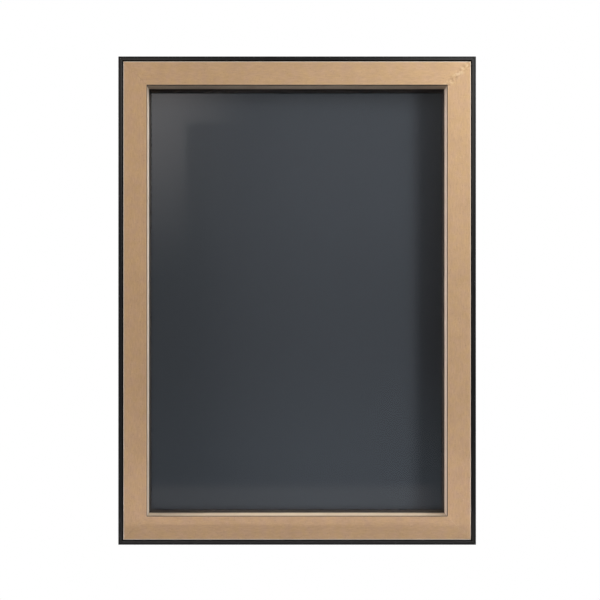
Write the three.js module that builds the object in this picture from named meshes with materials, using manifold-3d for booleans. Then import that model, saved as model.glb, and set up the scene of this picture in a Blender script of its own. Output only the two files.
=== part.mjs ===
// Floating museum frame, standing upright: a black tray holds a raw fibreboard body clear of its walls.
// A wide mitred face, a deep recess, glazing at the bottom of it, and a charcoal board behind the glazing.
// Millimetres, +Z up, the display side faces -Y. The origin is the middle of the bottom edge, at half depth.
import * as THREE from "three";
import { mergeVertices } from "three/addons/utils/BufferGeometryUtils.js";
import Module from "manifold-3d";

// Driving dimensions of the front.
const openingWidth = 690;
const openingHeight = 990;
const faceWidth = 54;
const floatGap = 2.5;
const trayWall = 9;
const recessDepth = 38;
const faceThickness = 6;
const faceReveal = 0.4;

// Driving dimensions of the layers behind the recess.
const glassThickness = 2;
const glassLap = 5;
const glassPlay = 1;
const spacerDepth = 5;
const spacerWidth = 4.4;
const boardThickness = 1.5;
const backBoardThickness = 3;

// The tray's rear flange, and the arrises of tray and face.
const flangeThickness = 4.7;
const trayArris = 0.8;
const faceArris = 0.4;

// Clearances: between stacked layers, across a mitre, round a shank or a bar, and round what moves.
const fit = 0.3;
const mitreGap = 0.3;
const shankPlay = 0.35;
const barPlay = 0.5;
const ringClearance = 1.25;
const headClearance = 1.8;

// Hardware on the back.
const buttonThickness = 1.8;
const buttonTailRadius = 7;
const buttonTipRadius = 5.5;
const buttonArm = 22;
const buttonPivotInset = 9.5;
const sideButtonEndInset = 200;
const screwShankRadius = 1.75;
const screwShankLength = 16;
const screwHeadRadius = 3.7;
const screwHeadHeight = 2.2;
const traySinkDepth = 2.6;
const traySinkRadius = 4.4;
const trayScrewEndInset = 210;
const braceArm = 62;
const braceWidth = 14;
const braceThickness = 2;
const braceHoleInsets = [26, 50];
const hangerDrop = 300;
const hangerWidth = 16;
const hangerThickness = 1.5;
const hangerLoopWidth = 10;
const ringWireRadius = 1.5;
const ringHalfWidth = 12;
const ringDrop = 22;
const ringCorner = 3;
const bumperRadius = 6;
const bumperHeight = 4;
const bumperInset = 15;
const bumperRim = 0.8;

// Facets round a hole or a screw, and round a rounded end.
const roundFacets = 16;
const bumperFacets = 28;
const endFacets = 12;
const wireFacets = 8;
const wireSteps = 44;

// Insets from the outer edge, measured inwards.
const bodyInset = trayWall + floatGap;
const openingInset = bodyInset + faceWidth;
const bodyInnerInset = openingInset - faceReveal;
const glassInset = openingInset - glassLap;
const rebateInset = glassInset - glassPlay;
const pivotInset = rebateInset - buttonPivotInset;

// The lane that the hardware lies in, between the tray's flange and the rebate: a D-ring just fits across it.
const hardwareLane = 2 * (ringHalfWidth + ringWireRadius + ringClearance);
const hardwareInset = rebateInset - hardwareLane / 2;
const flangeReach = rebateInset - hardwareLane;
const trayScrewInset = (bodyInset + flangeReach) / 2;
const screwHoleRadius = screwShankRadius + shankPlay;

// The strap hanger, measured down from its loop: one screw inside the hanging ring, and one below it.
const loopRadius = ringWireRadius + barPlay + hangerThickness;
const hangerScrewDrops = [
  loopRadius + headClearance + screwHeadRadius,
  ringDrop + ringWireRadius + headClearance + screwHeadRadius,
];
const hangerTail = hangerScrewDrops[1] + hangerWidth / 2 + ringClearance;

// Depths, measured back from the front of the face.
const bodyFrontDepth = faceThickness + fit;
const glassDepth = recessDepth + fit;
const spacerFrontDepth = glassDepth + glassThickness + fit;
const boardDepth = spacerFrontDepth + spacerDepth + fit;
const backBoardDepth = boardDepth + boardThickness + fit;
const bodyBackDepth = backBoardDepth + backBoardThickness + fit;
const hardwareDepth = bodyBackDepth + fit;
const trayDepth = hardwareDepth + flangeThickness;
const overallDepth = trayDepth + fit + bumperHeight;
const overallWidth = openingWidth + 2 * openingInset;
const overallHeight = openingHeight + 2 * openingInset;

const wasm = await Module();
wasm.setup();

// A closed three.js geometry as a solid that can be joined and cut.
function solidFrom(geometry) {
  const plain = geometry.index ? geometry.toNonIndexed() : geometry.clone();
  plain.deleteAttribute("normal");
  plain.deleteAttribute("uv");
  const merged = mergeVertices(plain, 1e-4);
  return new wasm.Manifold(
    new wasm.Mesh({
      numProp: 3,
      vertProperties: merged.attributes.position.array,
      triVerts: new Uint32Array(merged.index.array),
    }),
  );
}

function geometryFrom(solid) {
  const mesh = solid.getMesh();
  const geometry = new THREE.BufferGeometry();
  geometry.setAttribute("position", new THREE.BufferAttribute(mesh.vertProperties, 3));
  geometry.setIndex(new THREE.BufferAttribute(mesh.triVerts, 1));
  geometry.computeVertexNormals();
  return geometry;
}

function cutFrom(geometry, tools) {
  const cut = tools.reduce((solid, tool) => solid.subtract(solidFrom(tool)), solidFrom(geometry));
  return geometryFrom(cut);
}

function joined(first, second) {
  return geometryFrom(solidFrom(first).add(solidFrom(second)));
}

// Materials: one function for each finish, so that every mesh has its own.
const finishes = {
  trayBlack: { color: 0x262524, roughness: 0.45, metalness: 0 },
  faceBoard: { color: 0xbc9a76, roughness: 0.85, metalness: 0 },
  bodyBoard: { color: 0xc9b496, roughness: 0.95, metalness: 0 },
  glass: { color: 0x9fb3b8, roughness: 0.02, metalness: 0, transparent: true, opacity: 0.3 },
  spacer: { color: 0x17181a, roughness: 0.6, metalness: 0 },
  mountBoard: { color: 0x202326, roughness: 0.9, metalness: 0 },
  backBoard: { color: 0x8d7355, roughness: 0.9, metalness: 0 },
  zincSteel: { color: 0xa9adb0, roughness: 0.35, metalness: 1 },
  screwSteel: { color: 0x8f9396, roughness: 0.3, metalness: 1 },
  rubber: { color: 0x1b1b1c, roughness: 0.9, metalness: 0 },
};

function named(name, geometry, finish) {
  const mesh = new THREE.Mesh(geometry, new THREE.MeshStandardMaterial(finishes[finish]));
  mesh.name = name;
  return mesh;
}

// One rail of a mitred rectangle. The section is drawn as (inset, depth), and the rail runs along X under the
// centre, with each end cut back at 45 degrees as its inset grows.
function mitredRail(section, length, reach) {
  const shape = new THREE.Shape(section.map(([inset, depth]) => new THREE.Vector2(inset, depth)));
  const rail = new THREE.ExtrudeGeometry(shape, { depth: 1, bevelEnabled: false });
  const place = rail.attributes.position;
  const pullBack = mitreGap / Math.SQRT2;
  for (let i = 0; i < place.count; i += 1) {
    const inset = place.getX(i);
    const span = length - 2 * inset - 2 * pullBack;
    place.setXYZ(i, (0.5 - place.getZ(i)) * span, place.getY(i), inset - reach / 2);
  }
  return rail;
}

// A round tool or pin along the depth direction, from one depth to another.
function roundAt(radius, x, z, fromDepth, toDepth) {
  const round = new THREE.CylinderGeometry(radius, radius, toDepth - fromDepth, roundFacets);
  round.translate(x, (fromDepth + toDepth) / 2, z);
  return round;
}

// The clearance hole for a screw through a plate on the back.
function screwHole(x, z, thickness) {
  const past = thickness;
  return roundAt(screwHoleRadius, x, z, hardwareDepth - past, hardwareDepth + thickness + past);
}

// A solid of revolution along the depth direction, from a profile of (radius, depth) points.
function turnedAt(profile, x, z, facets) {
  const points = profile.map(([radius, depth]) => new THREE.Vector2(radius, depth));
  const turned = new THREE.LatheGeometry(points, facets);
  turned.translate(x, 0, z);
  return turned;
}

// A flat plate parallel to the back, extruded from an outline in (x, z).
function plateAt(shape, depth, thickness) {
  const extent = { depth: thickness, bevelEnabled: false, curveSegments: endFacets };
  const plate = new THREE.ExtrudeGeometry(shape, extent);
  plate.rotateX(Math.PI / 2);
  plate.translate(0, depth + thickness, 0);
  return plate;
}

const traySection = [
  [0, trayArris],
  [trayArris, 0],
  [trayWall - trayArris, 0],
  [trayWall, trayArris],
  [trayWall, trayDepth - flangeThickness],
  [flangeReach, trayDepth - flangeThickness],
  [flangeReach, trayDepth],
  [0, trayDepth],
];

const faceSection = [
  [bodyInset, faceArris],
  [bodyInset + faceArris, 0],
  [openingInset - faceArris, 0],
  [openingInset, faceArris],
  [openingInset, faceThickness],
  [bodyInset, faceThickness],
];

const bodySection = [
  [bodyInset, bodyFrontDepth],
  [bodyInnerInset, bodyFrontDepth],
  [bodyInnerInset, recessDepth],
  [rebateInset, recessDepth],
  [rebateInset, bodyBackDepth],
  [bodyInset, bodyBackDepth],
];

const spacerSection = [
  [glassInset, spacerFrontDepth],
  [glassInset + spacerWidth, spacerFrontDepth],
  [glassInset + spacerWidth, spacerFrontDepth + spacerDepth],
  [glassInset, spacerFrontDepth + spacerDepth],
];

// A pan-head wood screw whose head sits on a plate at seatDepth.
function panScrewProfile(seatDepth) {
  return [
    [0, seatDepth - screwShankLength],
    [screwShankRadius, seatDepth - screwShankLength + 2 * screwShankRadius],
    [screwShankRadius, seatDepth],
    [screwHeadRadius, seatDepth],
    [screwHeadRadius, seatDepth + 0.45 * screwHeadHeight],
    [0.7 * screwHeadRadius, seatDepth + screwHeadHeight],
    [0, seatDepth + screwHeadHeight],
  ];
}

// A countersunk screw whose head ends just under faceDepth, and the seat that it needs.
function sunkScrewProfile(faceDepth) {
  const top = faceDepth - fit;
  const headRadius = traySinkRadius - fit;
  return [
    [0, top - screwShankLength],
    [screwShankRadius, top - screwShankLength + 2 * screwShankRadius],
    [screwShankRadius, top - traySinkDepth],
    [headRadius, top],
    [0, top],
  ];
}

function sunkSeatProfile(faceDepth) {
  const through = faceDepth - 2 * flangeThickness;
  const past = faceDepth + fit;
  return [
    [0, through],
    [screwHoleRadius, through],
    [screwHoleRadius, faceDepth - traySinkDepth],
    [traySinkRadius, faceDepth - fit],
    [traySinkRadius, past],
    [0, past],
  ];
}

// The four sides, each drawn as the bottom one and turned about the depth axis into place.
const endButtons = [0];
const sideButtonReach = overallHeight / 2 - sideButtonEndInset;
const sideButtons = [-sideButtonReach, 0, sideButtonReach];
const sides = [
  { name: "bottom", turn: 0, length: overallWidth, reach: overallHeight, buttons: endButtons },
  { name: "left", turn: Math.PI / 2, length: overallHeight, reach: overallWidth, buttons: sideButtons },
  { name: "top", turn: Math.PI, length: overallWidth, reach: overallHeight, buttons: endButtons },
  { name: "right", turn: -Math.PI / 2, length: overallHeight, reach: overallWidth, buttons: sideButtons },
];

// The turn button: a tapered plate with round ends, that points inwards over the back board from its screw.
function turnButton(x, z) {
  const lean = Math.asin((buttonTailRadius - buttonTipRadius) / buttonArm);
  const outline = new THREE.Shape();
  outline.absarc(x, z + buttonArm, buttonTipRadius, lean, Math.PI - lean, false);
  outline.absarc(x, z, buttonTailRadius, Math.PI - lean, 2 * Math.PI + lean, false);
  outline.closePath();
  return cutFrom(plateAt(outline, hardwareDepth, buttonThickness), [screwHole(x, z, buttonThickness)]);
}

const frame = new THREE.Group();
frame.position.set(0, -overallDepth / 2, overallHeight / 2);
let buttonCount = 0;
let trayScrewCount = 0;

for (const side of sides) {
  const group = new THREE.Group();
  group.rotation.y = side.turn;
  frame.add(group);
  const hangerAlong = side.reach === overallWidth ? hangerPlaces(side) : [];
  const trayScrewZ = trayScrewInset - side.reach / 2;
  const pivotZ = pivotInset - side.reach / 2;
  const trayScrewReach = side.length / 2 - trayScrewEndInset;
  const trayScrewPlaces = [-trayScrewReach, trayScrewReach];

  const seatProfile = sunkSeatProfile(trayDepth);
  const traySeats = trayScrewPlaces.map((x) => turnedAt(seatProfile, x, trayScrewZ, roundFacets));
  const tray = mitredRail(traySection, side.length, side.reach);
  group.add(named(`tray_rail_${side.name}`, cutFrom(tray, traySeats), "trayBlack"));

  const face = mitredRail(faceSection, side.length, side.reach);
  group.add(named(`face_board_${side.name}`, face, "faceBoard"));

  const pilots = [
    ...trayScrewPlaces.map((x) => [x, trayScrewZ]),
    ...side.buttons.map((x) => [x, pivotZ]),
    ...hangerAlong.map((x) => [x, hardwareInset - side.reach / 2]),
  ];
  const pilotDepth = bodyBackDepth - screwShankLength;
  const pilotTools = pilots.map(([x, z]) => roundAt(screwHoleRadius, x, z, pilotDepth, hardwareDepth));
  const body = mitredRail(bodySection, side.length, side.reach);
  group.add(named(`body_rail_${side.name}`, cutFrom(body, pilotTools), "bodyBoard"));

  const spacer = mitredRail(spacerSection, side.length, side.reach);
  group.add(named(`spacer_${side.name}`, spacer, "spacer"));

  for (const x of side.buttons) {
    buttonCount += 1;
    group.add(named(`turn_button_${buttonCount}`, turnButton(x, pivotZ), "zincSteel"));
    const screw = turnedAt(panScrewProfile(hardwareDepth + buttonThickness + fit), x, pivotZ, roundFacets);
    group.add(named(`turn_button_screw_${buttonCount}`, screw, "screwSteel"));
  }

  for (const x of trayScrewPlaces) {
    trayScrewCount += 1;
    const screw = turnedAt(sunkScrewProfile(trayDepth), x, trayScrewZ, roundFacets);
    group.add(named(`tray_screw_${trayScrewCount}`, screw, "screwSteel"));
  }
}

// Where the hanger screws fall along a side rail, whose own X runs down on the left and up on the right.
function hangerPlaces(side) {
  const loopHeight = overallHeight / 2 - hangerDrop;
  const upward = side.turn > 0 ? -1 : 1;
  return hangerScrewDrops.map((drop) => upward * (loopHeight - drop));
}

// The flat layers, from the glass back. Each lies in the rebate with the same play all round.
function layer(name, depth, thickness, finish) {
  const width = overallWidth - 2 * glassInset;
  const height = overallHeight - 2 * glassInset;
  const sheet = new THREE.BoxGeometry(width, thickness, height);
  sheet.translate(0, depth + thickness / 2, 0);
  frame.add(named(name, sheet, finish));
}

layer("glazing_pane", glassDepth, glassThickness, "glass");
layer("mount_board", boardDepth, boardThickness, "mountBoard");
layer("back_board", backBoardDepth, backBoardThickness, "backBoard");

// Strap hangers: a plate with a rolled loop at its upper end, and a D-ring that hangs in the loop.
const loopDepth = hardwareDepth + loopRadius;

function hangerStrap() {
  const half = hangerWidth / 2;
  const plate = new THREE.Shape();
  plate.moveTo(hangerLoopWidth / 2, 0);
  plate.lineTo(-hangerLoopWidth / 2, 0);
  plate.lineTo(-half, -loopRadius);
  plate.absarc(0, half - hangerTail, half, Math.PI, 2 * Math.PI, false);
  plate.lineTo(half, -loopRadius);
  plate.closePath();
  const loop = new THREE.Shape();
  loop.absarc(0, 0, loopRadius, 0, 2 * Math.PI, false);
  const roll = new THREE.ExtrudeGeometry(loop, { depth: hangerLoopWidth, bevelEnabled: false });
  roll.rotateY(Math.PI / 2);
  roll.translate(-hangerLoopWidth / 2, loopDepth, 0);
  const boreRadius = ringWireRadius + barPlay;
  const bore = new THREE.CylinderGeometry(boreRadius, boreRadius, hangerWidth, roundFacets);
  bore.rotateZ(Math.PI / 2);
  bore.translate(0, loopDepth, 0);
  const whole = joined(plateAt(plate, hardwareDepth, hangerThickness), roll);
  const holes = hangerScrewDrops.map((drop) => screwHole(0, -drop, hangerThickness));
  return cutFrom(whole, [bore, ...holes]);
}

// The ring's centreline: a bar along X through the loop, two rounded corners, and a round lower end.
function ringPath() {
  const reach = ringDrop - ringHalfWidth;
  const at = (x, z) => new THREE.Vector3(x, loopDepth, z);
  const bend = [];
  for (let i = 0; i <= endFacets; i += 1) {
    const angle = (Math.PI * i) / endFacets;
    bend.push(at(ringHalfWidth * Math.cos(angle), -reach - ringHalfWidth * Math.sin(angle)));
  }
  const path = new THREE.CurvePath();
  const barEnd = ringHalfWidth - ringCorner;
  const corners = [at(barEnd, 0), at(ringHalfWidth, 0), at(ringHalfWidth, -ringCorner)];
  const backCorners = [at(-ringHalfWidth, -ringCorner), at(-ringHalfWidth, 0), at(-barEnd, 0)];
  path.add(new THREE.LineCurve3(at(-barEnd, 0), at(barEnd, 0)));
  path.add(new THREE.QuadraticBezierCurve3(...corners));
  path.add(new THREE.LineCurve3(at(ringHalfWidth, -ringCorner), at(ringHalfWidth, -reach)));
  path.add(new THREE.CatmullRomCurve3(bend));
  path.add(new THREE.LineCurve3(at(-ringHalfWidth, -reach), at(-ringHalfWidth, -ringCorner)));
  path.add(new THREE.QuadraticBezierCurve3(...backCorners));
  return path;
}

for (const [hand, towards] of [["left", -1], ["right", 1]]) {
  const hanger = new THREE.Group();
  hanger.position.set(towards * (overallWidth / 2 - hardwareInset), 0, overallHeight / 2 - hangerDrop);
  frame.add(hanger);
  hanger.add(named(`hanger_strap_${hand}`, hangerStrap(), "zincSteel"));
  const ring = new THREE.TubeGeometry(ringPath(), wireSteps, ringWireRadius, wireFacets, true);
  hanger.add(named(`d_ring_${hand}`, ring, "zincSteel"));
  hangerScrewDrops.forEach((drop, i) => {
    const screw = turnedAt(panScrewProfile(hardwareDepth + hangerThickness + fit), 0, -drop, roundFacets);
    hanger.add(named(`hanger_screw_${hand}_${i + 1}`, screw, "screwSteel"));
  });
}

// Flat steel angles across the body's rear mitres, and rubber bumpers on the tray's rear corners.
function cornerBrace(x, z) {
  const outer = hardwareInset - braceWidth / 2;
  const inner = hardwareInset + braceWidth / 2;
  const end = outer + braceArm;
  const outline = [[outer, outer], [end, outer], [end, inner], [inner, inner], [inner, end], [outer, end]];
  const place = ([across, up]) => [x * (across - overallWidth / 2), z * (up - overallHeight / 2)];
  const shape = new THREE.Shape(outline.map(place).map(([px, pz]) => new THREE.Vector2(px, pz)));
  const holes = braceHoleInsets.flatMap((along) => [
    place([outer + along, hardwareInset]),
    place([hardwareInset, outer + along]),
  ]);
  const tools = holes.map(([px, pz]) => screwHole(px, pz, braceThickness));
  return cutFrom(plateAt(shape, hardwareDepth, braceThickness), tools);
}

function bumper(x, z) {
  const seat = trayDepth + fit;
  const profile = [
    [0, seat],
    [bumperRadius, seat],
    [bumperRadius, seat + bumperHeight - bumperRim],
    [bumperRadius - bumperRim, seat + bumperHeight],
    [0, seat + bumperHeight],
  ];
  const px = x * (bumperInset - overallWidth / 2);
  const pz = z * (bumperInset - overallHeight / 2);
  return turnedAt(profile, px, pz, bumperFacets);
}

for (const [level, z] of [["bottom", 1], ["top", -1]]) {
  for (const [hand, x] of [["left", 1], ["right", -1]]) {
    frame.add(named(`corner_brace_${level}_${hand}`, cornerBrace(x, z), "zincSteel"));
    frame.add(named(`bumper_${level}_${hand}`, bumper(x, z), "rubber"));
  }
}

export default frame;
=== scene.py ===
# A floating museum frame: a black tray round a raw fibreboard body, with a brown fibreboard face, a deep
# recess and glazing over a charcoal board. It is finished in the order in which the frame is put together.
import math

import bpy
from mathutils import Matrix, Vector


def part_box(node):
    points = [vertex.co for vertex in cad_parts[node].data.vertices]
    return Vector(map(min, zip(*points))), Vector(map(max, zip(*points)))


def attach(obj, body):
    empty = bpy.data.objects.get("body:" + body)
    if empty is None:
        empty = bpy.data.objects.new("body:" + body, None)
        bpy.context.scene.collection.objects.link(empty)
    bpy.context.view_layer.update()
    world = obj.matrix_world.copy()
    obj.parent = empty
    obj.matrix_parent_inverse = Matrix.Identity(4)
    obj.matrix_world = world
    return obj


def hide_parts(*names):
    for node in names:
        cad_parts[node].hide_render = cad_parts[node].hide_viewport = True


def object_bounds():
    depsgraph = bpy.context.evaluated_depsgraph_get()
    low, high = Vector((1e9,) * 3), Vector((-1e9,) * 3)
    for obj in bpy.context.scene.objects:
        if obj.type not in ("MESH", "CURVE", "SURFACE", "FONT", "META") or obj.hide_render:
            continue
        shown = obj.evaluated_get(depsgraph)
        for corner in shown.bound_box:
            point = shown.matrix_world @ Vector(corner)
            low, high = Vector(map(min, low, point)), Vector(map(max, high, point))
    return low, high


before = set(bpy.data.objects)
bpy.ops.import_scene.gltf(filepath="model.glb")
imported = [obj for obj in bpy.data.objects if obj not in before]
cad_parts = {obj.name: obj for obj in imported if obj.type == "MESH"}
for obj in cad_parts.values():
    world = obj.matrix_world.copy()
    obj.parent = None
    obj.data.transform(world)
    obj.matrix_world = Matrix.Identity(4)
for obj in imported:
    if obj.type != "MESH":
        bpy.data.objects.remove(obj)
cad_box = [list(corner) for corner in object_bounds()]
low, high = Vector(cad_box[0]), Vector(cad_box[1])
middle = (low + high) / 2
mm = 0.001

# The view: straight on at the display side from two metres, a little left of the middle and below it.
# The lens is shifted, as a view camera's is, so that the frame stays square.
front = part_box("face_board_bottom")[0].y
view_distance = 2.0
view_left = 0.0467
view_below = 0.0445
eye = Vector((middle.x - view_left, front - view_distance, middle.z - view_below))
bpy.ops.object.camera_add(location=eye, rotation=(math.radians(90), 0, 0))
camera = bpy.context.object
camera.name = "view_camera"
camera.data.sensor_width = 36
camera.data.lens = 52.3
camera.data.shift_x = 0.0387
camera.data.shift_y = 0.0333
bpy.context.scene.camera = camera
bpy.context.scene.view_settings.view_transform = "Standard"


# The studio: a pale paper floor well below the hung frame, which sends it no diffuse light and no shadow.
# Colours are sRGB codes, which one function turns to linear, and one more adds a node with its settings.
def linear(code, strength=1.0):
    channels = [(code >> shift & 255) / 255 for shift in (16, 8, 0)]
    curve = [c / 12.92 if c <= 0.04045 else ((c + 0.055) / 1.055) ** 2.4 for c in channels]
    return (*[c * strength for c in curve], 1.0)


def add(tree, kind, inputs=None, **settings):
    made = tree.nodes.new("ShaderNode" + kind)
    for name, value in settings.items():
        setattr(made, name, value)
    for name, value in (inputs or {}).items():
        if isinstance(value, bpy.types.Node):
            value = next(socket for socket in value.outputs if socket.enabled)
        if isinstance(value, bpy.types.NodeSocket):
            tree.links.new(value, made.inputs[name])
        else:
            made.inputs[name].default_value = value
    return made


def new_finish(name):
    made = bpy.data.materials.new(name)
    made.use_nodes = True
    made.node_tree.nodes.clear()
    return made, made.node_tree, add(made.node_tree, "TexCoord").outputs["Object"]


floor_drop = 0.3
floor_width = 2.8
floor_front = -1.7
floor_back = 0.5
bpy.ops.mesh.primitive_plane_add(size=1)
floor = bpy.context.object
floor.name = "studio_floor"
floor.scale = (floor_width, floor_back - floor_front, 1)
floor.location = (0, (floor_front + floor_back) / 2, -floor_drop)
floor.visible_diffuse = False
floor.visible_shadow = False
paper, tree, place = new_finish("studio_floor_paper")
shader = add(tree, "BsdfPrincipled", {"Base Color": linear(0xF2F1EE), "Roughness": 0.8})
add(tree, "OutputMaterial", {"Surface": shader})
floor.data.materials.append(paper)

# The surround is plain white where it is seen, and dimmer as a light, mostly from in front and from the left.
front_light = 0.50
left_light = 0.35
rear_light = 0.75
light_from_below = 0.145
world = bpy.data.worlds.new("studio_surround")
world.use_nodes = True
bpy.context.scene.world = world
tree = world.node_tree
tree.nodes.clear()
toward = add(tree, "SeparateXYZ", {0: add(tree, "TexCoord").outputs["Generated"]})
ahead = add(tree, "MapRange", {0: toward.outputs["Y"], 1: -0.4, 2: -0.9, 4: front_light})
aside = add(tree, "MapRange", {0: toward.outputs["X"], 1: 0.0, 2: -0.7, 4: left_light})
behind = add(tree, "MapRange", {0: toward.outputs["Y"], 1: 0.1, 2: 0.9, 4: rear_light})
overhead = add(tree, "MapRange", {0: toward.outputs["Z"], 1: -0.25, 2: 0.35, 3: light_from_below, 4: 1.0})
level = add(tree, "Math", {0: ahead, 1: aside}, operation="ADD")
level = add(tree, "Math", {0: level, 1: behind}, operation="ADD")
level = add(tree, "Math", {0: level, 1: overhead}, operation="MULTIPLY")
dim = add(tree, "Background", {"Color": level, "Strength": 1.0})
bright = add(tree, "Background", {"Color": (1, 1, 1, 1), "Strength": 1.0})
seen = add(tree, "LightPath").outputs["Is Camera Ray"]
add(tree, "OutputWorld", {"Surface": add(tree, "MixShader", {0: seen, 1: dim, 2: bright})})


# The lamps: soft boxes high on both sides in front, and one behind for the hardware.
# They stand outside what the glazing mirrors.
def lamp(name, place, aim, size, watts, code):
    data = bpy.data.lights.new(name, "AREA")
    data.shape = "RECTANGLE"
    data.size, data.size_y = size
    data.energy = watts
    data.color = linear(code)[:3]
    made = bpy.data.objects.new(name, data)
    bpy.context.scene.collection.objects.link(made)
    made.location = place
    made.rotation_euler = (Vector(aim) - Vector(place)).to_track_quat("-Z", "Y").to_euler()
    made.visible_camera = False
    made.visible_transmission = False
    return made


lamp("key_lamp", (0.85, -0.70, 1.70), (0.20, front, 0.80), (0.5, 0.5), 9.5, 0xF2FAFF)
lamp("right_lamp", (1.70, -0.90, 1.20), (0, front, 0.60), (0.5, 0.5), 21.0, 0xFFFFFF)
lamp("right_side_lamp", (1.80, -0.35, 1.10), (0, front, 0.50), (0.4, 0.4), 10.5, 0xFFFFFF)
lamp("left_side_lamp", (-1.80, -0.35, 1.10), (0, front, 0.55), (0.4, 0.4), 36.0, 0xFFF8F6)
lamp("back_lamp", (-1.10, 1.90, 1.90), (0, 0, 0.60), (0.9, 0.9), 45.0, 0xFFFAF2)

# A wide soft lamp lifts the lower part, and a narrow one brightens it further.
# A flag close in front keeps the narrow one off the last few centimetres. It stops only that lamp and is
# never seen, and the glazing doesn't mirror either lamp.
fill_spread = 36
pool_spread = 20
low_fill = lamp("low_fill_lamp", (0, -2.20, 1.00), (0, front, -0.20), (2.0, 0.4), 1.5, 0xE8ECFF)
low_fill.data.spread = math.radians(fill_spread)
pool = lamp("low_pool_lamp", (0.10, -2.20, 1.30), (0, front, -0.16), (2.0, 0.05), 1.1, 0xE8ECFF)
pool.data.spread = math.radians(pool_spread)
for light in (low_fill, pool):
    light.visible_glossy = False
flag_line = 0.0458
flag_gap = 0.06
flag_width = 1.2
flag_height = 0.3
pool_slope = (pool.location.z - flag_line) / (front - pool.location.y)
flag_top = flag_line + flag_gap * pool_slope
bpy.ops.mesh.primitive_plane_add(size=1, rotation=(math.radians(90), 0, 0))
flag = bpy.context.object
flag.name = "shelf_flag"
flag.scale = (flag_width, flag_height, 1)
flag.location = (0, front - flag_gap, flag_top - flag_height / 2)
for ray in ("camera", "diffuse", "glossy", "transmission"):
    setattr(flag, "visible_" + ray, False)
stopped_by_flag = bpy.data.collections.new("flagged")
stopped_by_flag.objects.link(flag)
for light in [o for o in bpy.context.scene.objects if o.type == "LIGHT" and o is not pool]:
    light.light_linking.blocker_collection = stopped_by_flag
for entry in stopped_by_flag.collection_objects:
    entry.light_linking.link_state = "EXCLUDE"

# What the glazing mirrors: a big card that only gloss can see, glowing as a dim blue-grey room does.
# It has a pale window wall on the upper left by a dark panel, a dark column on the right and a floor line.
glass_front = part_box("glazing_pane")[0].y
card_distance = 3.0
card_half_width = 1.4
card_half_height = 1.7
column_edge = (0.74, 0.86)
ceiling_edge = (1.20, 1.36)
floor_edge = (-1.11, -1.065)
window_across = (-0.75, -0.1)
window_up = (0.2, 1.4)
panel_across = (-0.55, -0.50)
panel_up = (1.12, 1.16)
glow_up = (-0.99, -0.93)
glow_end = (0.80, 0.95)
bpy.ops.mesh.primitive_plane_add(size=2, rotation=(math.radians(90), 0, 0))
card = bpy.context.object
card.name = "room_card"
card.scale = (card_half_width, card_half_height, 1)
bpy.ops.object.transform_apply(location=False, rotation=False, scale=True)
card.location = (eye.x, glass_front - card_distance, eye.z)
for ray in ("camera", "diffuse", "shadow", "transmission"):
    setattr(card, "visible_" + ray, False)

room, tree, place = new_finish("dim_room")
room.cycles.emission_sampling = "NONE"
spot = add(tree, "SeparateXYZ", {0: place})
across, up = spot.outputs["X"], spot.outputs["Y"]
soft = {"interpolation_type": "SMOOTHSTEP"}
wall_side = add(tree, "MapRange", {0: across, 1: -0.75, 2: 0.35, 3: 0.66, 4: 1.0}, **soft)
wall_low = add(tree, "MapRange", {0: up, 1: -0.95, 2: 0.0, 3: 1.36, 4: 1.0}, **soft)
wall_high = add(tree, "MapRange", {0: up, 1: 0.2, 2: 0.7, 3: 1.0, 4: 1.10}, **soft)
wall = add(tree, "Math", {0: wall_side, 1: wall_low}, operation="MULTIPLY")
wall = add(tree, "Math", {0: wall, 1: wall_high}, operation="MULTIPLY")
column_tone = add(tree, "MapRange", {0: up, 1: -1.0, 2: 0.0, 3: 0.50, 4: 0.18}, **soft)
column = add(tree, "MapRange",
             {0: across, 1: column_edge[0], 2: column_edge[1], 3: 1.0, 4: column_tone}, **soft)
ceiling = add(tree, "MapRange", {0: up, 1: ceiling_edge[0], 2: ceiling_edge[1], 3: 1.0, 4: 0.40}, **soft)
level = add(tree, "Math", {0: wall, 1: column}, operation="MULTIPLY")
level = add(tree, "Math", {0: level, 1: ceiling}, operation="MULTIPLY")
below = add(tree, "MapRange", {0: up, 1: floor_edge[0], 2: floor_edge[1], 3: 0.45, 4: 1.0})
level = add(tree, "Math", {0: level, 1: below}, operation="MULTIPLY")
window_side = add(tree, "MapRange",
                  {0: across, 1: window_across[0], 2: window_across[1], 3: 1.42, 4: 0.0}, **soft)
window_rise = add(tree, "MapRange", {0: up, 1: window_up[0], 2: window_up[1], 3: 0.0, 4: 1.0}, **soft)
window = add(tree, "Math", {0: window_side, 1: window_rise}, operation="MULTIPLY")
panel_side = add(tree, "MapRange", {0: across, 1: panel_across[0], 2: panel_across[1], 3: 0.0, 4: 1.0})
panel_rise = add(tree, "MapRange", {0: up, 1: panel_up[0], 2: panel_up[1], 3: 0.65, 4: 0.0})
panel = add(tree, "Math", {0: panel_side, 1: panel_rise}, operation="MULTIPLY")
beside_panel = add(tree, "Math", {0: 1.0, 1: panel}, operation="SUBTRACT")
window = add(tree, "Math", {0: window, 1: beside_panel}, operation="MULTIPLY")
floor_glow = add(tree, "MapRange", {0: up, 1: glow_up[0], 2: glow_up[1], 3: 0.34, 4: 0.0}, **soft)
open_side = add(tree, "MapRange", {0: across, 1: glow_end[0], 2: glow_end[1], 3: 1.0, 4: 0.3}, **soft)
glow = add(tree, "Math", {0: floor_glow, 1: open_side}, operation="MULTIPLY")
glow = add(tree, "Math", {0: glow, 1: below}, operation="MULTIPLY")
glow = add(tree, "Math", {0: glow, 1: window}, operation="ADD")
cool = add(tree, "Emission", {"Color": (0.56, 0.68, 0.80, 1), "Strength": level})
warm = add(tree, "Emission", {"Color": (1.0, 0.91, 0.87, 1), "Strength": glow})
add(tree, "OutputMaterial", {"Surface": add(tree, "AddShader", {0: cool, 1: warm})})
card.data.materials.append(room)


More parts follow.
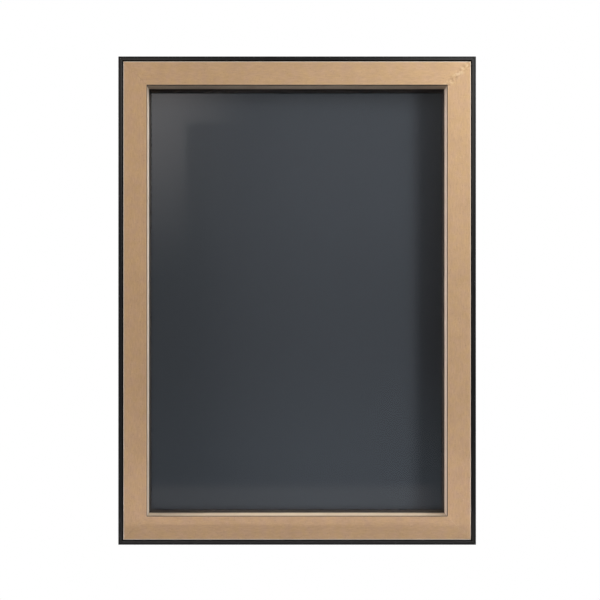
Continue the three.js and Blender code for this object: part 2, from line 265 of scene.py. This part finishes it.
# The tray: four mitred rails of fibreboard, each a wall with a flange behind, glued and lacquered black.
# A copy of each rail has its flats joined up and its sharp edges eased, as sanding between coats does.
SIDES = ("bottom", "left", "top", "right")
tray_ease = 0.35
tray_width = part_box("face_board_left")[0].x - low.x
peel_size = 1.6
cloud_size = 60
dust_size = 2.2
# Strength and reach of the painted light at the top corners and along the bottom.
top_painted_light = 0.62
low_painted_light = 0.36
low_painted_light_rise = (0.01, 0.09)
merge_gap = 0.002
flat_angle = 0.5
sharp_angle = 30
smooth_angle = 40


def eased(name, finish, width, segments=2, body="frame"):
    bpy.ops.object.select_all(action="DESELECT")
    piece = bpy.data.objects.new(name + "_finished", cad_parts[name].data.copy())
    bpy.context.scene.collection.objects.link(piece)
    bpy.context.view_layer.objects.active = piece
    piece.select_set(True)
    bpy.ops.object.mode_set(mode="EDIT")
    bpy.ops.mesh.select_all(action="SELECT")
    bpy.ops.mesh.remove_doubles(threshold=merge_gap * mm)
    bpy.ops.mesh.dissolve_limited(angle_limit=math.radians(flat_angle))
    bpy.ops.object.mode_set(mode="OBJECT")
    bevel = piece.modifiers.new("eased_edges", "BEVEL")
    bevel.width = width * mm
    bevel.segments = segments
    bevel.limit_method = "ANGLE"
    bevel.angle_limit = math.radians(sharp_angle)
    bpy.ops.object.modifier_apply(modifier="eased_edges")
    bpy.ops.object.shade_smooth_by_angle(angle=math.radians(smooth_angle))
    flats = piece.modifiers.new("flat_faces", "WEIGHTED_NORMAL")
    flats.keep_sharp = True
    flats.weight = 100
    bpy.ops.object.modifier_apply(modifier="flat_faces")
    piece.data.materials.clear()
    piece.data.materials.append(finish)
    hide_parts(name)
    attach(piece, body)
    return piece


# Satin nitrocellulose lacquer over fibreboard: near black, with a soft sheen, orange peel and a little dust.
# It has painted light, greyer towards the top corners and along the bottom, and painted shade that keeps it
# near black along the outer arris.
lacquer, tree, place = new_finish("black_satin_lacquer")
peel = add(tree, "TexNoise", {"Vector": place, "Scale": 1 / (peel_size * mm), "Detail": 2.0})
cloud = add(tree, "TexNoise", {"Vector": place, "Scale": 1 / (cloud_size * mm), "Detail": 3.0})
dust = add(tree, "TexNoise", {"Vector": place, "Scale": 1 / (dust_size * mm), "Detail": 1.0})
spot = add(tree, "SeparateXYZ", {0: place})
sideways = add(tree, "Math", {0: spot.outputs["X"]}, operation="ABSOLUTE")
from_side = add(tree, "Math", {0: high.x, 1: sideways}, operation="SUBTRACT")
rise = add(tree, "Math", {0: spot.outputs["Z"], 1: middle.z}, operation="SUBTRACT")
from_end = add(tree, "Math", {0: rise}, operation="ABSOLUTE")
from_end = add(tree, "Math", {0: high.z - middle.z, 1: from_end}, operation="SUBTRACT")
inset = add(tree, "Math", {0: from_side, 1: from_end}, operation="MINIMUM")
# Painted light: the lacquer greys towards the top corners and along the bottom edge.
painted_light_top = add(tree, "MapRange", {0: rise, 1: 0.05, 2: high.z - middle.z, 3: 0.0, 4: top_painted_light}, **soft)
painted_light_sides = add(tree, "MapRange", {0: sideways, 1: 0.05, 2: 0.9 * high.x, 3: 0.2, 4: 1.0}, **soft)
painted_light = add(tree, "Math", {0: painted_light_top, 1: painted_light_sides}, operation="MULTIPLY")
painted_light_low = add(tree, "MapRange", {0: rise, 1: low.z - middle.z + low_painted_light_rise[0],
                                    2: low.z - middle.z + low_painted_light_rise[1], 3: low_painted_light, 4: 0.0})
painted_light = add(tree, "Math", {0: painted_light, 1: painted_light_low}, operation="ADD")
# Painted shade: near the outer arris the grey is held back, so that the edge stays near black.
arris_painted_shade = add(tree, "MapRange", {0: inset, 1: 0.2 * tray_width, 2: 0.6 * tray_width, 3: 0.15, 4: 1.0})
painted_light = add(tree, "Math", {0: painted_light, 1: arris_painted_shade}, operation="MULTIPLY")
speck = add(tree, "MapRange", {0: dust, 1: 0.72, 2: 0.80, 4: 0.35})
black = add(tree, "Mix", {0: cloud, 6: linear(0x090808), 7: linear(0x121110)}, data_type="RGBA")
black = add(tree, "Mix", {0: painted_light, 6: black, 7: linear(0x403D3A)}, data_type="RGBA")
dusty = add(tree, "Mix", {0: speck, 6: black, 7: linear(0x4A4743)}, data_type="RGBA")
sheen = add(tree, "MapRange", {0: cloud, 1: 0.3, 2: 0.7, 3: 0.40, 4: 0.55})
relief = add(tree, "Bump", {"Height": peel, "Strength": 0.25, "Distance": 0.05 * mm})
shader = {"Base Color": dusty, "Roughness": sheen, "Normal": relief, "Specular IOR Level": 0.17}
add(tree, "OutputMaterial", {"Surface": add(tree, "BsdfPrincipled", shader)})
for side in SIDES:
    eased(f"tray_rail_{side}", lacquer, tray_ease)

# The body: four thick mitred rails of raw fibreboard that stand inside the tray and wall the recess.
# They are sawn edges, so they show the board's pale, hazy core in faint layers that run round the frame.
# The bottom one is a ledge, and a film of dust has settled on it.
body_ease = 0.3
layer_thickness = 1.6
layer_length = 70
fuzz_size = 1.1
grime_size = 45
dust_rise = (0.1, 0.6)
raw_board, tree, place = new_finish("raw_fibreboard_core")
stretch = (1 / (layer_length * mm), 1 / (layer_thickness * mm), 1 / (layer_length * mm))
laid = add(tree, "Mapping", {"Vector": place, "Scale": stretch})
layers = add(tree, "TexNoise", {"Vector": laid, "Scale": 1.0, "Detail": 3.0})
fuzz_grain = {"Vector": place, "Scale": 1 / (fuzz_size * mm), "Detail": 3.0, "Roughness": 0.7}
fuzz = add(tree, "TexNoise", fuzz_grain)
grime = add(tree, "TexNoise", {"Vector": place, "Scale": 1 / (grime_size * mm), "Detail": 2.0})
layer_tone = add(tree, "MapRange", {0: layers, 1: 0.35, 2: 0.65})
core = add(tree, "Mix", {0: layer_tone, 6: linear(0xBCAB9A), 7: linear(0xCBBBAB)}, data_type="RGBA")
fuzz_tone = add(tree, "MapRange", {0: fuzz, 1: 0.55, 2: 0.75, 4: 0.4})
core = add(tree, "Mix", {0: fuzz_tone, 6: core, 7: linear(0x9C8770)}, data_type="RGBA")
grime_tone = add(tree, "MapRange", {0: grime, 1: 0.5, 2: 0.8, 4: 0.3})
core = add(tree, "Mix", {0: grime_tone, 6: core, 7: linear(0xA8957E)}, data_type="RGBA")
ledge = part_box("body_rail_bottom")[1].z
height = add(tree, "SeparateXYZ", {0: place}).outputs["Z"]
lying_dust = add(tree, "MapRange", {0: height, 1: ledge + dust_rise[0] * mm,
                                    2: ledge + dust_rise[1] * mm, 3: 0.9, 4: 0.0})
core = add(tree, "Mix", {0: lying_dust, 6: core, 7: linear(0xB3A188)}, data_type="RGBA")
relief = add(tree, "Bump", {"Height": fuzz, "Strength": 0.5, "Distance": 0.12 * mm})
shader = {"Base Color": core, "Roughness": 0.95, "Normal": relief, "Specular IOR Level": 0.2}
add(tree, "OutputMaterial", {"Surface": add(tree, "BsdfPrincipled", shader)})
for side in SIDES:
    eased(f"body_rail_{side}", raw_board, body_ease)

# The face: four mitred strips of brown fibreboard glued to the body's front, sanded and left bare.
# It is mottled, with faint fibres along each strip, painted highlights along its arrises and painted shade on
# its cut edges.
# The top right mitre has been rubbed with filler, which left a patchy smear.
face_box = [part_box("face_board_left"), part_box("face_board_right")]
face_half_width = face_box[1][1].x
face_half_height = (face_box[0][1].z - face_box[0][0].z) / 2
mitre_gap_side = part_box("face_board_left")[0].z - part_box("face_board_bottom")[0].z
face_half_height += mitre_gap_side
face_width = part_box("face_board_bottom")[1].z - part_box("face_board_bottom")[0].z
face_ease = 0.3
fibre_length = 13
fibre_thickness = 2.2
mottle_size = 17
fleck_size = 3.4
# Width of the painted highlights along the arrises.
painted_highlight_width = 2.4
smear_width = 14
blot_size = 7
smear_core = 3.0
shade_size = 42
# Width and fade of the painted shade at the face's edges.
painted_edge_shade_width = 0.7
painted_edge_shade_fade = 0.4


def face_finish(name, fibre_scale):
    made, tree, place = new_finish(name)
    where = add(tree, "SeparateXYZ", {0: place})
    lift = add(tree, "Math", {0: where.outputs["Z"], 1: middle.z}, operation="SUBTRACT")
    from_side = add(tree, "Math", {0: where.outputs["X"]}, operation="ABSOLUTE")
    from_side = add(tree, "Math", {0: face_half_width, 1: from_side}, operation="SUBTRACT")
    from_end = add(tree, "Math", {0: lift}, operation="ABSOLUTE")
    from_end = add(tree, "Math", {0: face_half_height, 1: from_end}, operation="SUBTRACT")
    inset = add(tree, "Math", {0: from_side, 1: from_end}, operation="MINIMUM")
    mottle = add(tree, "TexNoise", {"Vector": place, "Scale": 1 / (mottle_size * mm), "Detail": 3.0})
    hue = add(tree, "MapRange", {0: mottle, 1: 0.35, 2: 0.65})
    brown = add(tree, "Mix", {0: hue, 6: linear(0xBE9B73), 7: linear(0xBD9A79)}, data_type="RGBA")
    laid = add(tree, "Mapping", {"Vector": place, "Scale": fibre_scale})
    fibre = add(tree, "TexNoise", {"Vector": laid, "Scale": 1.0, "Detail": 4.0, "Roughness": 0.6})
    streak = add(tree, "MapRange", {0: fibre, 1: 0.3, 2: 0.7, 3: 0.92, 4: 1.075})
    shade = add(tree, "TexNoise", {"Vector": place, "Scale": 1 / (shade_size * mm), "Detail": 2.0})
    shade = add(tree, "MapRange", {0: shade, 1: 0.3, 2: 0.7, 3: 0.965, 4: 1.035})
    tone = add(tree, "Math", {0: streak, 1: shade}, operation="MULTIPLY")
    brown = add(tree, "VectorMath", {0: brown, "Scale": tone}, operation="SCALE")
    fleck = add(tree, "TexNoise", {"Vector": place, "Scale": 1 / (fleck_size * mm), "Detail": 2.0})
    dark_fleck = add(tree, "MapRange", {0: fleck, 1: 0.62, 2: 0.74, 4: 0.35})
    brown = add(tree, "Mix", {0: dark_fleck, 6: brown, 7: linear(0x8A6A48)}, data_type="RGBA")
    light_fleck = add(tree, "MapRange", {0: fleck, 1: 0.38, 2: 0.26, 4: 0.35})
    brown = add(tree, "Mix", {0: light_fleck, 6: brown, 7: linear(0xD2B48E)}, data_type="RGBA")
    # Painted highlights: paler bands along the outer and inner arrises.
    outer_painted_highlight = add(tree, "MapRange", {0: inset, 1: 0.5 * painted_highlight_width * mm, 2: painted_highlight_width * mm, 3: 0.95, 4: 0.0})
    brown = add(tree, "Mix", {0: outer_painted_highlight, 6: brown, 7: linear(0xD9CBB9)}, data_type="RGBA")
    inner_start = face_width - painted_highlight_width * mm
    inner_painted_highlight = add(tree, "MapRange", {0: inset, 1: inner_start, 2: face_width - 0.5 * mm, 3: 0.0, 4: 0.5})
    brown = add(tree, "Mix", {0: inner_painted_highlight, 6: brown, 7: linear(0xD4BB9B)}, data_type="RGBA")
    off_mitre = add(tree, "Math", {0: from_side, 1: from_end}, operation="SUBTRACT")
    off_mitre = add(tree, "Math", {0: off_mitre}, operation="ABSOLUTE")
    near_mitre = add(tree, "MapRange",
                     {0: off_mitre, 1: smear_core * mm, 2: smear_width * mm, 3: 1.0, 4: 0.0})
    corner = add(tree, "Math", {0: where.outputs["X"], 1: lift}, operation="ADD")
    smear_end = face_half_width + face_half_height - 0.06
    corner = add(tree, "MapRange", {0: corner, 1: 0.4, 2: smear_end, 3: 0.15, 4: 1.0})
    smear = add(tree, "Math", {0: near_mitre, 1: corner}, operation="MULTIPLY")
    blot = add(tree, "TexNoise", {"Vector": place, "Scale": 1 / (blot_size * mm), "Detail": 2.0})
    pale_blot = add(tree, "MapRange", {0: blot, 1: 0.52, 2: 0.60, 4: 0.42})
    pale_blot = add(tree, "Math", {0: pale_blot, 1: smear}, operation="MULTIPLY")
    brown = add(tree, "Mix", {0: pale_blot, 6: brown, 7: linear(0xDEC8A4)}, data_type="RGBA")
    dark_blot = add(tree, "MapRange", {0: blot, 1: 0.46, 2: 0.38, 4: 0.36})
    dark_blot = add(tree, "Math", {0: dark_blot, 1: smear}, operation="MULTIPLY")
    brown = add(tree, "Mix", {0: dark_blot, 6: brown, 7: linear(0x7E5F40)}, data_type="RGBA")
    # Painted shade: the cut edges and the last fraction of a millimetre beside them are near black.
    centre = add(tree, "Math", {0: inset, 1: face_width / 2}, operation="SUBTRACT")
    centre = add(tree, "Math", {0: centre}, operation="ABSOLUTE")
    edge_start = face_width / 2 - painted_edge_shade_width * mm
    painted_edge_shade = add(tree, "MapRange", {0: centre, 1: edge_start, 2: edge_start + painted_edge_shade_fade * mm})
    brown = add(tree, "Mix", {0: painted_edge_shade, 6: brown, 7: linear(0x1C0F06)}, data_type="RGBA")
    relief = add(tree, "Bump", {"Height": fibre, "Strength": 0.35, "Distance": 0.15 * mm})
    shader = {"Base Color": brown, "Roughness": 0.86, "Normal": relief, "Specular IOR Level": 0.3}
    add(tree, "OutputMaterial", {"Surface": add(tree, "BsdfPrincipled", shader)})
    return made


# Glue and filler close the mitres, so that only a faint line crosses each corner.
along, through = 1 / (fibre_length * mm), 1 / (fibre_thickness * mm)
lying = face_finish("brown_fibreboard_lying", (along, through, through))
standing = face_finish("brown_fibreboard_standing", (through, through, along))
for side in SIDES:
    eased(f"face_board_{side}", lying if side in ("bottom", "top") else standing, face_ease)

filler_dip = 0.05
filler_slack = 0.004
filler_end_gap = 1.2
filler_back_gap = 0.3
putty_grain = 2
filler_thickness = mitre_gap_side * math.sqrt(2) - filler_slack * mm
filler_length = face_width * math.sqrt(2) - filler_end_gap * mm
filler_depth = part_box("face_board_bottom")[1].y - front - filler_back_gap * mm
putty, tree, place = new_finish("mitre_wood_filler")
grain = add(tree, "TexNoise", {"Vector": place, "Scale": 1 / (putty_grain * mm), "Detail": 2.0})
tone = add(tree, "Mix", {0: grain, 6: linear(0xA98560), 7: linear(0xC6A47E)}, data_type="RGBA")
add(tree, "OutputMaterial", {"Surface": add(tree, "BsdfPrincipled", {"Base Color": tone, "Roughness": 0.9})})
for corner, turn, across_side, up_side in (("bottom_left", -45, -1, -1), ("bottom_right", 45, 1, -1),
                                           ("top_left", 45, -1, 1), ("top_right", -45, 1, 1)):
    bpy.ops.object.select_all(action="DESELECT")
    centre_x = across_side * (face_half_width - face_width / 2)
    centre_z = middle.z + up_side * (face_half_height - face_width / 2)
    bpy.ops.mesh.primitive_cube_add(size=1)
    seam = bpy.context.object
    seam.name = f"mitre_filler_{corner}"
    seam.scale = (filler_length, filler_depth, filler_thickness)
    seam.rotation_euler.y = math.radians(turn)
    seam.location = (centre_x, front + filler_dip * mm + filler_depth / 2, centre_z)
    bpy.ops.object.mode_set(mode="EDIT")
    bpy.ops.mesh.select_all(action="SELECT")
    bpy.ops.mesh.subdivide(number_cuts=5)
    bpy.ops.object.mode_set(mode="OBJECT")
    bpy.ops.object.transform_apply(location=True, rotation=True, scale=True)
    seam.data.materials.append(putty)
    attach(seam, "frame")

# The glazing: one pane of clear 2 mm float glass laid in the rebate from behind, its edges just seamed.
# It throws no shadow in the studio, so that the lamps reach the board behind as daylight would.
clear_glass, tree, place = new_finish("float_glass")
shader = {"Base Color": (1, 1, 1, 1), "Roughness": 0.0, "IOR": 1.5, "Transmission Weight": 1.0}
add(tree, "OutputMaterial", {"Surface": add(tree, "BsdfPrincipled", shader)})
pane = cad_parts["glazing_pane"]
pane.data.materials.clear()
pane.data.materials.append(clear_glass)
pane.visible_shadow = False

# The spacers: four extruded strips of matt black plastic that hold the board off the glass.
# They hide behind the face's edge and give the pane its dark rim.
strip_ease = 0.3
draw_mark_size = 2.5
strip_plastic, tree, place = new_finish("matt_black_polystyrene")
drawn = add(tree, "TexNoise", {"Vector": place, "Scale": 1 / (draw_mark_size * mm), "Detail": 1.0})
tone = add(tree, "Mix", {0: drawn, 6: linear(0x111111), 7: linear(0x1B1B1B)}, data_type="RGBA")
add(tree, "OutputMaterial", {"Surface": add(tree, "BsdfPrincipled", {"Base Color": tone, "Roughness": 0.6})})
for side in SIDES:
    eased(f"spacer_{side}", strip_plastic, strip_ease)

# The mount board: a charcoal cotton board, flat behind the glass, with nothing mounted on it.
# It reads as near black under what the glass mirrors. Its tooth is drawn coarser than the real one, so that
# it doesn't break up into grain at a distance.
tooth_size = 5
tint_size = 80
board_ease = 0.2
board_paper, tree, place = new_finish("charcoal_cotton_board")
tooth = add(tree, "TexNoise", {"Vector": place, "Scale": 1 / (tooth_size * mm), "Detail": 1.0})
tint = add(tree, "TexNoise", {"Vector": place, "Scale": 1 / (tint_size * mm), "Detail": 2.0})
grey = add(tree, "Mix", {0: tooth, 6: linear(0x191A1E), 7: linear(0x1B1D21)}, data_type="RGBA")
grey = add(tree, "Mix", {0: tint, 6: grey, 7: linear(0x1A1B1F)}, data_type="RGBA")
relief = add(tree, "Bump", {"Height": tooth, "Strength": 0.05, "Distance": 0.05 * mm})
shader = {"Base Color": grey, "Roughness": 0.95, "Normal": relief, "Specular IOR Level": 0.1}
add(tree, "OutputMaterial", {"Surface": add(tree, "BsdfPrincipled", shader)})
eased("mount_board", board_paper, board_ease)

# The back board: 3 mm hardboard with its screen-marked side out, held in by the turn buttons.
# It is dark brown, with a faint woven mark and scattered fibres. The weave is drawn coarser than a real one.
weave_pitch = 5
strand_size = 4
patch_size = 90
back_ease = 0.4
hardboard, tree, place = new_finish("screen_backed_hardboard")
parts = add(tree, "SeparateXYZ", {0: place})
turns = {1: 2 * math.pi / (weave_pitch * mm)}
warp = add(tree, "Math", {0: parts.outputs["X"], **turns}, operation="MULTIPLY")
weft = add(tree, "Math", {0: parts.outputs["Z"], **turns}, operation="MULTIPLY")
warp = add(tree, "Math", {0: warp}, operation="SINE")
weft = add(tree, "Math", {0: weft}, operation="SINE")
screen = add(tree, "Math", {0: warp, 1: weft}, operation="MULTIPLY")
woven = add(tree, "MapRange", {0: screen, 1: -1.0, 2: 1.0, 3: 0.93, 4: 1.07})
strand_grain = {"Vector": place, "Scale": 1 / (strand_size * mm), "Detail": 4.0, "Roughness": 0.65}
fibres = add(tree, "TexNoise", strand_grain)
patches = add(tree, "TexNoise", {"Vector": place, "Scale": 1 / (patch_size * mm), "Detail": 3.0})
brown = add(tree, "Mix", {0: patches, 6: linear(0x6E4E34), 7: linear(0x86623F)}, data_type="RGBA")
strand = add(tree, "MapRange", {0: fibres, 1: 0.56, 2: 0.72, 4: 0.55})
brown = add(tree, "Mix", {0: strand, 6: brown, 7: linear(0xA98660)}, data_type="RGBA")
brown = add(tree, "VectorMath", {0: brown, "Scale": woven}, operation="SCALE")
relief = add(tree, "Bump", {"Height": screen, "Strength": 0.3, "Distance": 0.2 * mm})
shader = {"Base Color": brown, "Roughness": 0.7, "Normal": relief}
add(tree, "OutputMaterial", {"Surface": add(tree, "BsdfPrincipled", shader)})
eased("back_board", hardboard, back_ease)

# The plated steel: clear zinc over rolled strip or wire, pressed and bent.
# It is a cool, slightly cloudy metal, duller where fingers have been.
spangle_size = 7
haze_size = 28
roll_mark_size = 1.2
zinc, tree, place = new_finish("clear_zinc_plated_steel")
spangle = add(tree, "TexNoise", {"Vector": place, "Scale": 1 / (spangle_size * mm), "Detail": 3.0})
haze = add(tree, "TexNoise", {"Vector": place, "Scale": 1 / (haze_size * mm), "Detail": 2.0})
rolled = add(tree, "TexNoise", {"Vector": place, "Scale": 1 / (roll_mark_size * mm), "Detail": 2.0})
metal = add(tree, "Mix", {0: spangle, 6: linear(0xA9ADB1), 7: linear(0xCDD0D2)}, data_type="RGBA")
hazed = add(tree, "MapRange", {0: haze, 1: 0.45, 2: 0.75, 4: 0.45})
metal = add(tree, "Mix", {0: hazed, 6: metal, 7: linear(0xB5AE9C)}, data_type="RGBA")
gloss = add(tree, "MapRange", {0: spangle, 1: 0.3, 2: 0.7, 3: 0.30, 4: 0.46})
relief = add(tree, "Bump", {"Height": rolled, "Strength": 0.12, "Distance": 0.03 * mm})
shader = {"Base Color": metal, "Metallic": 1.0, "Roughness": gloss, "Normal": relief}
add(tree, "OutputMaterial", {"Surface": add(tree, "BsdfPrincipled", shader)})


# The screws: plated wood screws with a cross recess, panheads for the hardware and countersunk in the tray.
# Each kind is turned once at the origin, with its head along Z, and every copy has its own mesh.
head_facets = 40
cross_length = 4.0
cross_width = 0.9
cross_depth = 1.3
cross_taper = 0.35
dome_share = 0.62
cone_depth = 2.3
tip_share = 0.08
thread_smooth_angle = 35


def pick(piece, kind, test):
    bpy.ops.object.mode_set(mode="OBJECT")
    for group in (piece.data.vertices, piece.data.edges, piece.data.polygons):
        group.foreach_set("select", [False] * len(group))
    if kind == "faces":
        for face in piece.data.polygons:
            face.select = test(face.center, face.normal)
    else:
        for edge in piece.data.edges:
            ends = [piece.data.vertices[i].co for i in edge.vertices]
            edge.select = test(*ends)
    bpy.ops.object.mode_set(mode="EDIT")
    bpy.ops.mesh.select_mode(type="FACE" if kind == "faces" else "EDGE")


def turned_screw(name, head_radius, head_height, shank_radius, length, sunk):
    bpy.ops.object.select_all(action="DESELECT")
    depth = head_height * mm
    bpy.ops.mesh.primitive_cylinder_add(vertices=head_facets, radius=head_radius * mm, depth=depth,
                                        location=(0, 0, depth / 2))
    screw = bpy.context.object
    screw.name = name
    bpy.ops.object.transform_apply(location=True, rotation=False, scale=False)
    if not sunk:
        pick(screw, "edges", lambda a, b: min(a.z, b.z) > depth - 1e-6)
        bpy.ops.mesh.bevel(offset=dome_share * head_height * mm, segments=5, profile=0.5, affect="EDGES")
    pick(screw, "faces", lambda at, normal: normal.z < -0.9)
    if sunk:
        cone = cone_depth * mm
        shrink = shank_radius / head_radius
        bpy.ops.mesh.extrude_region_move(TRANSFORM_OT_translate={"value": (0, 0, -cone)})
        bpy.ops.transform.resize(value=(shrink, shrink, 1))
    else:
        bpy.ops.mesh.inset(thickness=(head_radius - shank_radius) * mm)
    tip = 2 * shank_radius * mm
    bpy.ops.mesh.extrude_region_move(TRANSFORM_OT_translate={"value": (0, 0, -(length * mm - tip))})
    bpy.ops.mesh.extrude_region_move(TRANSFORM_OT_translate={"value": (0, 0, -tip)})
    bpy.ops.transform.resize(value=(tip_share, tip_share, 1))
    bpy.ops.object.mode_set(mode="OBJECT")
    for quarter in (0, 1):
        bpy.ops.object.select_all(action="DESELECT")
        bpy.ops.mesh.primitive_cube_add(size=1, location=(0, 0, depth))
        cutter = bpy.context.object
        cutter.scale = (cross_length * mm, cross_width * mm, 2 * cross_depth * mm)
        cutter.rotation_euler.z = quarter * math.pi / 2
        bpy.ops.object.transform_apply(location=True, rotation=True, scale=True)
        pick(cutter, "faces", lambda at, normal: normal.z < -0.9)
        bpy.ops.transform.resize(value=(cross_taper, cross_taper, 1))
        bpy.ops.object.mode_set(mode="OBJECT")
        bpy.ops.object.select_all(action="DESELECT")
        bpy.context.view_layer.objects.active = screw
        screw.select_set(True)
        cut = screw.modifiers.new("cross_recess", "BOOLEAN")
        cut.operation = "DIFFERENCE"
        cut.solver = "EXACT"
        cut.object = cutter
        bpy.ops.object.modifier_apply(modifier="cross_recess")
        bpy.data.objects.remove(cutter)
    bpy.ops.object.shade_smooth_by_angle(angle=math.radians(thread_smooth_angle))
    screw.data.materials.clear()
    screw.data.materials.append(zinc)
    return screw


def drive(pattern, name, place, turn):
    driven = bpy.data.objects.new(name, pattern.data.copy())
    driven.data.transform(Matrix.Translation(place) @ Matrix.Rotation(math.radians(-90), 4, "X")
                          @ Matrix.Rotation(turn, 4, "Z"))
    bpy.context.scene.collection.objects.link(driven)
    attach(driven, "frame")
    return driven


pan_lowest, pan_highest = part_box("hanger_screw_left_1")
pan_radius = (pan_highest.x - pan_lowest.x) / 2 / mm
pan_height = 2.2
shank = 1.75
brace_screw_length = 12
pan_length = (pan_highest.y - pan_lowest.y) / mm - pan_height
sunk_lowest, sunk_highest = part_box("tray_screw_1")
sunk_radius = (sunk_highest.x - sunk_lowest.x) / 2 / mm
sunk_height = 0.3
sunk_length = (sunk_highest.y - sunk_lowest.y) / mm - sunk_height - cone_depth
pan_screw = turned_screw("pan_screw", pan_radius, pan_height, shank, pan_length, False)
sunk_screw = turned_screw("sunk_screw", sunk_radius, sunk_height, shank, sunk_length, True)
short_screw = turned_screw("short_screw", pan_radius, pan_height, shank, brace_screw_length, False)
turn_step = 2.4
screw_nodes = [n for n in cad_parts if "_screw_" in n]
for i, name in enumerate(sorted(screw_nodes)):
    lowest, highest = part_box(name)
    is_sunk = name.startswith("tray")
    seat = highest.y - (sunk_height if is_sunk else pan_height) * mm
    centre = (lowest + highest) / 2
    pattern = sunk_screw if is_sunk else pan_screw
    driven = drive(pattern, name + "_finished", (centre.x, seat, centre.z), i * turn_step)
    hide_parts(name)

# The corner braces: flat angles stamped from 2 mm plated strip, screwed across the body's rear mitres.
# Each takes four short panheads, two along each arm.
brace_hole_steps = (26, 50)
brace_middle = 7
brace_ease = 0.35
brace_screw_lift = 0.05
brace_turns = (90, 70)
for corner in ("bottom_left", "bottom_right", "top_left", "top_right"):
    name = f"corner_brace_{corner}"
    eased(name, zinc, brace_ease)
    lowest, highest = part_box(name)
    toward_x = 1 if "left" in corner else -1
    toward_z = 1 if "bottom" in corner else -1
    start_x = lowest.x if toward_x > 0 else highest.x
    start_z = lowest.z if toward_z > 0 else highest.z
    seat = highest.y + brace_screw_lift * mm
    for i, step in enumerate(brace_hole_steps):
        for along_x in (True, False):
            run, side_step = (step, brace_middle) if along_x else (brace_middle, step)
            place = (start_x + toward_x * run * mm, seat, start_z + toward_z * side_step * mm)
            arm = "arm_x" if along_x else "arm_z"
            turn = place[0] * brace_turns[0] + place[2] * brace_turns[1]
            drive(short_screw, f"brace_screw_{corner}_{arm}_{i + 1}", place, turn)
for pattern in (pan_screw, sunk_screw, short_screw):
    bpy.data.objects.remove(pattern)

# The hangers: a stamped strap folded round the ring's bar on each side rail, and a bent wire D-ring.
# The ring's wire is round, so its facets are smoothed by subdivision before it is plated.
strap_ease = 0.3
wire_levels = 2
for hand in ("left", "right"):
    eased(f"hanger_strap_{hand}", zinc, strap_ease)
    bpy.ops.object.select_all(action="DESELECT")
    ring = bpy.data.objects.new(f"d_ring_{hand}_finished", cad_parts[f"d_ring_{hand}"].data.copy())
    bpy.context.scene.collection.objects.link(ring)
    bpy.context.view_layer.objects.active = ring
    ring.select_set(True)
    bpy.ops.object.mode_set(mode="EDIT")
    bpy.ops.mesh.select_all(action="SELECT")
    bpy.ops.mesh.remove_doubles(threshold=merge_gap * mm)
    bpy.ops.mesh.tris_convert_to_quads(face_threshold=math.radians(40), shape_threshold=math.radians(80))
    bpy.ops.object.mode_set(mode="OBJECT")
    rounding = ring.modifiers.new("round_wire", "SUBSURF")
    rounding.levels = rounding.render_levels = wire_levels
    bpy.ops.object.modifier_apply(modifier="round_wire")
    bpy.ops.object.shade_smooth()
    ring.data.materials.clear()
    ring.data.materials.append(zinc)
    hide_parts(f"d_ring_{hand}")
    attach(ring, f"d_ring_{hand}")

# The turn buttons: pressed steel teardrops that swing over the back board's edge on one screw each.
button_ease = 0.45
for number in range(1, 9):
    name = f"turn_button_{number}"
    eased(name, zinc, button_ease, segments=3, body=name)

# The bumpers: soft black rubber buttons stuck on the tray's rear corners, domed at the rim and dished on top.
bumper_rim = 1.1
bumper_dish = 0.5
bumper_ring = 2.2
bumper_facets = 64
dish_taper = 0.8
bloom_size = 3
rubber, tree, place = new_finish("black_moulded_rubber")
bloom = add(tree, "TexNoise", {"Vector": place, "Scale": 1 / (bloom_size * mm), "Detail": 3.0})
tone = add(tree, "Mix", {0: bloom, 6: linear(0x161616), 7: linear(0x2C2B2A)}, data_type="RGBA")
relief = add(tree, "Bump", {"Height": bloom, "Strength": 0.2, "Distance": 0.05 * mm})
shader = {"Base Color": tone, "Roughness": 0.78, "Normal": relief}
add(tree, "OutputMaterial", {"Surface": add(tree, "BsdfPrincipled", shader)})
for corner in ("bottom_left", "bottom_right", "top_left", "top_right"):
    name = f"bumper_{corner}"
    lowest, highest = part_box(name)
    centre = (lowest + highest) / 2
    bpy.ops.object.select_all(action="DESELECT")
    bpy.ops.mesh.primitive_cylinder_add(vertices=bumper_facets, radius=(highest.x - lowest.x) / 2,
                                        depth=highest.y - lowest.y, location=centre,
                                        rotation=(math.radians(90), 0, 0))
    pad = bpy.context.object
    pad.name = name + "_finished"
    bpy.ops.object.transform_apply(location=True, rotation=True, scale=True)
    rear = highest.y - 1e-6
    pick(pad, "edges", lambda a, b: min(a.y, b.y) > rear)
    bpy.ops.mesh.bevel(offset=bumper_rim * mm, segments=5, affect="EDGES")
    pick(pad, "faces", lambda at, normal: normal.y > 0.99)
    bpy.ops.mesh.inset(thickness=bumper_ring * mm)
    bpy.ops.mesh.extrude_region_move(TRANSFORM_OT_translate={"value": (0, -bumper_dish * mm, 0)})
    bpy.ops.transform.resize(value=(dish_taper, 1, dish_taper))
    bpy.ops.object.mode_set(mode="OBJECT")
    bpy.ops.object.shade_smooth_by_angle(angle=math.radians(smooth_angle))
    pad.data.materials.append(rubber)
    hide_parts(name)
    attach(pad, "frame")
